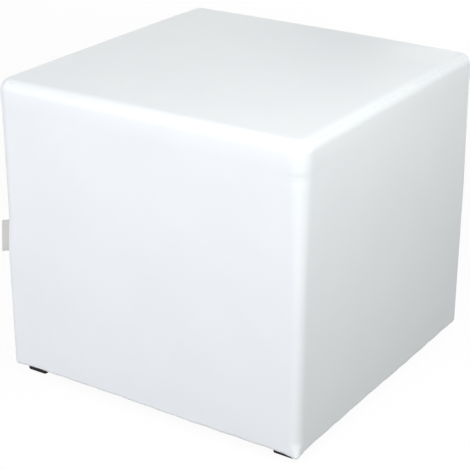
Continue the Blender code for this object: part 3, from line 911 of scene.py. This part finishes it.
foamDepth = form["skin"] + form["slit"]
backDepth = foamDepth + form["sideFoam"]
foamRows = [boardTop - offset for offset in np.linspace(0, boardTop - hemArcLevel, 24)]
for side, name in enumerate(sideNames):
    # mitred at the corners, with a slit between neighbours
    trim = 1 - form["slit"] / 2 / form["half"] / math.cos(quarter / 2)
    shares = [share * trim for share in sideShares(False)]
    shares = [-share for share in shares] + shares[::-1][1:]
    radius = form["hemRound"] - foamDepth
    profile = [(foamDepth, level) for level in foamRows[:-1]]
    profile += [(form["hemRound"] - radius * math.cos(angle),
                 hemArcLevel - radius * math.sin(angle)) for angle in np.linspace(0, quarter, 5)]
    outer = bandGrid([(side, shares)], profile, 0.0)
    levels = np.concatenate([foamRows[:-1], np.linspace(hemArcLevel, frameLow, 5)])
    columns = []
    for share in shares:
        x, y = roundedSquare(side, share, form["half"] - backDepth, np.zeros(len(levels)))
        columns.append(np.stack([x, y, levels], -1))
    inner = np.stack(columns, 1)
    layer = dress(shellPiece("side_foam_layer_" + name, outer, inner, 50), cutFoam, "foam",
                  "side_foam_" + name)
print("padding ready")

# Cloth that closes the underside, with its edge folded and stapled

dustCover = {
    "half": form["half"] - 7 * mm,
    "cornerRound": 12 * mm,
    "fold": 10 * mm,
    "layer": 0.3 * mm,
    "sag": 1.1 * mm,
    "staplePitch": 48 * mm,
    "bow": 0.7 * mm,
}


def clothPoint(side, share, depth, level):
    return roundedSquare(side, share, dustCover["half"] - depth, dustCover["cornerRound"] - depth)


clothLow, clothHigh = (corner.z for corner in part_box("dust_cover"))
depths = [0, 0.15 * mm, 0.5 * mm, 1.2 * mm, 2.5 * mm, 4.5 * mm, 7 * mm, 9 * mm, 10 * mm, 11 * mm,
          13 * mm, 16 * mm, 20 * mm]
depths += spread(20 * mm, dustCover["half"], 6 * mm)
lower = capGrid([(depth, clothLow) for depth in depths[::-1]], clothPoint)
upper = capGrid([(depth, clothHigh) for depth in depths[::-1]], clothPoint)
inward = dustCover["half"] - form["half"] + fromEdge(lower[..., 0], lower[..., 1])
place = roundPlace(lower)
between = 0.5 - 0.5 * np.cos(place * (2 * math.pi / dustCover["staplePitch"]))
single = smooth(9 * mm, 11 * mm, inward)
sag = dustCover["sag"] * smooth(12 * mm, 120 * mm, inward)
ripple = 0.12 * mm * softWaves(lower, 45 * mm, 31) * smooth(8 * mm, 30 * mm, inward)
pinch = 0.1 * mm * between * bell(inward - 14 * mm, 10 * mm)
for grid, thin in ((lower, 0.0), (upper, 1.0)):
    grid[..., 2] -= sag + pinch - np.minimum(ripple, 0.1 * mm)
    grid[..., 2] -= thin * single * (clothHigh - clothLow - dustCover["layer"])
    rim = np.clip(1 - inward / (6 * mm), 0, 1)
    grid[..., :2] *= 1 - (dustCover["bow"] * between * rim / dustCover["half"])[..., None]
edgeRound = (1 - np.sqrt(1 - (1 - np.clip(inward / (0.3 * mm), 0, 1)) ** 2)) * 0.25 * mm
lower[..., 2] += edgeRound
upper[..., 2] -= edgeRound
cloth = dress(shellPiece("dust_cover_cloth", upper, lower, 60), blackNonWoven, "black_cloth",
              "dust_cover")

# Staples of the cover's turned-under edge and of the cloth

staple = {
    "crown": 11 * mm,
    "wire": 1.2 * mm,
    "thickness": 0.5 * mm,
    "leg": 6 * mm,
    "bend": 0.9 * mm,
    "fromCorner": 30 * mm,
}


def staplePoints():
    # a flat wire bent to a crown with two legs that point up
    halfCrown = staple["crown"] / 2
    line = [(-halfCrown, staple["leg"])]
    for sign, angles in ((-1, np.linspace(0, quarter, 4)), (1, np.linspace(quarter, 0, 4))):
        line += [(sign * (halfCrown - staple["bend"] + staple["bend"] * math.cos(angle)),
                  staple["bend"] - staple["bend"] * math.sin(angle)) for angle in angles]
    line.append((halfCrown, staple["leg"]))
    line = np.array(line)
    points = []
    for start, push in zip(line, -staple["thickness"] * squareTo(line)):
        for side, share in ((-1, 0), (1, 0), (1, 1), (-1, 1)):
            place = start + push * share
            points.append((place[0], side * staple["wire"] / 2, place[1]))
    return np.array(points)


def staplesPiece(name, inset, pitch, level, seed):
    draws = np.random.default_rng(seed)
    points = staplePoints()
    allPoints, faces = [], []
    reach = form["half"] - inset
    number = int(2 * (reach - staple["fromCorner"]) / pitch)
    for side in range(4):
        for index in range(number + 1):
            run = (index - number / 2) * pitch + draws.uniform(-3, 3) * mm
            tilt = math.radians(draws.uniform(-7, 7)) + side * quarter
            x, y = onSide(side, run, reach)
            turned = points.copy()
            turned[:, 0] = x + points[:, 0] * math.cos(tilt) - points[:, 1] * math.sin(tilt)
            turned[:, 1] = y + points[:, 0] * math.sin(tilt) + points[:, 1] * math.cos(tilt)
            turned[:, 2] += level
            start = len(allPoints) * len(points)
            allPoints.append(turned)
            faces += list(tubeFaces(len(points) // 4, 4, start))
            faces.append(range(start, start + 4))
            faces.append(range(start + len(points) - 1, start + len(points) - 5, -1))
    return meshPiece(name, np.concatenate(allPoints), faces, 40)


dress(staplesPiece("cover_hem_staples", 26 * mm, cover["staplePitch"], hemLow - 0.25 * mm, 41),
      zincSteel, "steel")
dress(staplesPiece("dust_cover_staples", 21 * mm, dustCover["staplePitch"],
                   clothLow - 0.35 * mm, 43), zincSteel, "steel")
print("underside ready")

# Feet: moulded squares with a recess for a screw

foot = {
    "half": 15 * mm,
    "cornerRound": 2.2 * mm,
    "draft": 0.2 * mm,
    "lowerRound": 1.3 * mm,
    "recess": 5.5 * mm,
    "recessDepth": 4.5 * mm,
    "hole": 2.2 * mm,
    "columns": 64,
}


def squareRing(half, radius, level):
    points = []
    for index in range(foot["columns"]):
        angle = 2 * math.pi * index / foot["columns"]
        cos, sin = abs(math.cos(angle)), abs(math.sin(angle))
        big, small = max(cos, sin), min(cos, sin)
        centre = half - radius
        reach = half / big
        if reach * small > centre:
            spare = radius ** 2 - centre ** 2 * (cos - sin) ** 2
            reach = centre * (cos + sin) + math.sqrt(max(spare, 0))
        points.append((reach * math.cos(angle), reach * math.sin(angle), level))
    return points


def footMesh(height):
    half, lower, count = foot["half"], foot["lowerRound"], foot["columns"]
    rings = [roundRing(foot["hole"], height, count),
             squareRing(half - 0.6 * mm, foot["cornerRound"], height),
             squareRing(half - 0.15 * mm, foot["cornerRound"], height - 0.15 * mm),
             squareRing(half, foot["cornerRound"], height - 0.6 * mm)]
    for angle in np.linspace(0, quarter, 6):
        pull = foot["draft"] + lower * (1 - math.cos(angle))
        rings.append(squareRing(half - pull, foot["cornerRound"], lower * (1 - math.sin(angle))))
    recess, depth = foot["recess"], foot["recessDepth"]
    for radius, level in ((recess + 0.5 * mm, 0.0), (recess + 0.12 * mm, 0.12 * mm),
                          (recess, 0.5 * mm), (recess - 0.1 * mm, depth - 0.4 * mm),
                          (recess - 0.5 * mm, depth), (foot["hole"], depth)):
        rings.append(roundRing(radius, level, count))
    return np.concatenate([np.array(ring) for ring in rings]), \
        tubeFaces(len(rings), count, closed=True)


corners = ("front_left", "front_right", "back_left", "back_right")
footPoints, footFaces = footMesh(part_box("foot_front_left")[1].z)
for corner in corners:
    low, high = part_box("foot_" + corner)
    piece = meshPiece("square_foot_" + corner, footPoints, footFaces, 32)
    piece.location = ((low.x + high.x) / 2, (low.y + high.y) / 2, 0)
    dress(piece, blackPlastic, "foot_plastic", "foot_" + corner)
print("feet ready")

# Screws with a cross recess and a thread

screw = {
    "columns": 24,
    "armHalf": 0.42 * mm,
    "pitch": 2.2 * mm,
    "rowsPerTurn": 8,
    "threadStand": 0.25 * mm,
}


def screwMesh(head, headHeight, shank, length, sunk):
    count = screw["columns"]
    angles = [2 * math.pi * index / count for index in range(count)]

    def crossRing(scale, level):
        ring = []
        for angle in angles:
            aside = min(abs(math.sin(angle)), abs(math.cos(angle)))
            reach = min(head * 0.62, screw["armHalf"] / max(aside, 1e-3)) * scale
            ring.append((reach * math.cos(angle), reach * math.sin(angle), level))
        return ring

    rings = [crossRing(0.5, -0.55 * headHeight), crossRing(0.97, -0.04 * mm), crossRing(1.06, 0)]
    start, tip = -headHeight - 3 * mm, -length + 3.5 * mm
    if sunk:
        outline = [(head, -0.05 * mm), (head, -0.25 * mm)]
    else:
        outline = [(head * 0.86, -0.05 * mm), (head * 0.97, -0.4 * mm), (head, -0.9 * mm),
                   (head, -headHeight + 0.1 * mm), (head * 0.97, -headHeight)]
    outline += [(shank, -headHeight), (shank * 0.95, start)]
    rings += [roundRing(radius, level, count) for radius, level in outline]
    core = shank * 0.82
    rowStep = screw["pitch"] / screw["rowsPerTurn"]
    for level in np.arange(start - rowStep, tip, -rowStep):
        ring = []
        fade = min((start - level) / screw["pitch"], 1, (level - tip) / screw["pitch"] + 0.3)
        for angle in angles:
            turn = (level / screw["pitch"] + angle / (2 * math.pi)) % 1
            ridge = max(0.0, 1 - abs(turn - 0.5) / 0.3) * min(fade, 1)
            radius = core + (shank + screw["threadStand"] - core) * ridge
            ring.append((radius * math.cos(angle), radius * math.sin(angle), level))
        rings.append(ring)
    rings += [roundRing(core, tip, count), roundRing(core * 0.3, -length + 0.4 * mm, count)]
    points = [(0, 0, -0.62 * headHeight)] + [point for ring in rings for point in ring]
    points.append((0, 0, -length))
    faces = list(tubeFaces(len(rings), count, 1))
    for first, middle in ((1, 0), (len(points) - 1 - count, len(points) - 1)):
        faces += [(middle, first + index, first + (index + 1) % count) for index in range(count)]
    return np.array(points), faces


screwKinds = {"frame": screwMesh(3.6 * mm, 2.6 * mm, 1.8 * mm, 29 * mm, True),
              "foot": screwMesh(4.0 * mm, 2.4 * mm, 1.9 * mm, 22.4 * mm, False)}
shared = {}
for node in sorted(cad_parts):
    if "screw" not in node:
        continue
    low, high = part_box(node)
    size = high - low
    axis = max(range(3), key=lambda index: size[index])
    place = (low + high) / 2
    # the head lies at the outer end, and a foot's or the seat's screw has it below or above
    direction = {"foot": -1, "seat": 1}.get(node[:4], 1 if place[axis] > 0 else -1)
    place[axis] = (high if direction > 0 else low)[axis]
    outward = Vector((0, 0, 0))
    outward[axis] = direction
    kind = "foot" if node.startswith("foot") else "frame"
    if kind in shared:
        piece = addObject(node + "_threaded", shared[kind])
    else:
        piece = meshPiece(node + "_threaded", *screwKinds[kind], 32)
        shared[kind] = piece.data
    piece.location = place
    piece.rotation_euler = Vector((0, 0, 1)).rotation_difference(outward).to_euler()
    dress(piece, zincSteel, "steel", node)
print("screws ready")

# Wooden frame: the solids stay and take their finishes


def paint(node, material):
    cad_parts[node].data.materials.clear()
    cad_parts[node].data.materials.append(material)


pines = [woodFinish(name, axis, (0.76, 0.60, 0.38), (0.58, 0.38, 0.19), 70.0)[0]
         for axis, name in enumerate(("pineAcross", "pineAlong", "pineUpright"))]
for side, grainAxis in (("front", 0), ("back", 0), ("left", 1), ("right", 1)):
    board = "side_board_" + side
    paint("base_rail_" + side, pines[grainAxis])
    paint(board, plywoodFinish("plywood_" + side, 1 - grainAxis, grainAxis, board, 7))
paint("seat_board", plywoodFinish("plywood_seat", 2, 0, "seat_board", 11))
for corner in corners:
    paint("corner_post_" + corner, pines[2])
print("frame painted")

# Floor, backdrop and light

studio = {
    "floorSize": 14.0,
    "floorColour": (0.92, 0.92, 0.92),
    "floorGlow": 0.94,              # share of plain white that the camera sees on the floor
    "upper": 0.23,                  # plain light from above and from below
    "lower": 0.17,
}


def seenPlainly(tree):
    paths = addNode(tree, "ShaderNodeLightPath").outputs
    return mathNode(tree, "MAXIMUM", paths["Is Camera Ray"],
                    mathNode(tree, "MAXIMUM", paths["Is Glossy Ray"],
                             paths["Is Transmission Ray"]))


def blendShaders(tree, share, first, second):
    node = addNode(tree, "ShaderNodeMixShader")
    for socket, value in zip(node.inputs, (share, first, second)):
        feed(tree, socket, value)
    return node.outputs[0]


floorMesh = bpy.data.meshes.new("studio_floor")
reach = studio["floorSize"] / 2
floorMesh.from_pydata([(-reach, -reach, 0), (reach, -reach, 0), (reach, reach, 0),
                       (-reach, reach, 0)], [], [(0, 1, 2, 3)])
floor = addObject("studio_floor", floorMesh)
floor.visible_diffuse = False
floor.visible_shadow = False
paleFloor, tree, shader, spot = newFinish("paleFloor", studio["floorColour"], 0.9)
plain = addNode(tree, "ShaderNodeBsdfDiffuse")
feed(tree, plain.inputs["Color"], studio["floorColour"])
white = addNode(tree, "ShaderNodeEmission")
share = mathNode(tree, "MULTIPLY", seenPlainly(tree), studio["floorGlow"])
lit = blendShaders(tree, share, plain.outputs[0], white.outputs[0])
below = addNode(tree, "ShaderNodeNewGeometry").outputs["Backfacing"]    # clear from below
clear = addNode(tree, "ShaderNodeBsdfTransparent").outputs[0]
feed(tree, tree.nodes["Material Output"].inputs["Surface"],
     blendShaders(tree, below, lit, clear))
floorMesh.materials.append(paleFloor)

world = bpy.data.worlds.new("studio")
scene.world = world
world.use_nodes = True
tree = world.node_tree
backdrop = tree.nodes["Background"]
feed(tree, backdrop.inputs["Color"], (1, 1, 1))
air = addNode(tree, "ShaderNodeBackground")
feed(tree, air.inputs["Color"], (1, 1, 1))
heading = splitNode(tree, addNode(tree, "ShaderNodeTexCoord").outputs["Generated"])
feed(tree, air.inputs["Strength"],
     rangeNode(tree, heading["Z"], -0.1, 0.1, studio["lower"], studio["upper"]))
feed(tree, tree.nodes["World Output"].inputs["Surface"],
     blendShaders(tree, seenPlainly(tree), air.outputs[0], backdrop.outputs[0]))

# lamps: turn and lift in degrees from the middle of the front, distance, size, power, colour
lamps = {
    "front low": (-23, 12, 2.4, 1.4, 20.3, (0.935, 0.917, 1.0)),
    "front high": (20, 38, 2.4, 1.4, 28.8, (1, 1, 1)),
    "right": (80, 40, 1.46, 0.7, 7.7, (1, 1, 1)),
    "back": (-175, 3, 2.4, 1.4, 30.6, (1, 1, 1)),
    "back left": (-135, 20, 2.4, 1.4, 7.1, (1, 1, 1)),
}
for name, (turn, lift, away, size, power, colour) in lamps.items():
    lamp = bpy.data.lights.new(name, "AREA")
    lamp.shape, lamp.size, lamp.energy, lamp.color = "SQUARE", size, power, colour
    holder = addObject(name, lamp)
    turn, lift = math.radians(turn), math.radians(lift)
    holder.location = away * Vector((math.sin(turn) * math.cos(lift),
                                     -math.cos(turn) * math.cos(lift), math.sin(lift)))
    aim = Vector(insidePoint) - holder.location
    holder.rotation_euler = aim.to_track_quat("-Z", "Y").to_euler()

scene.view_settings.view_transform = "Standard"
print("studio ready")
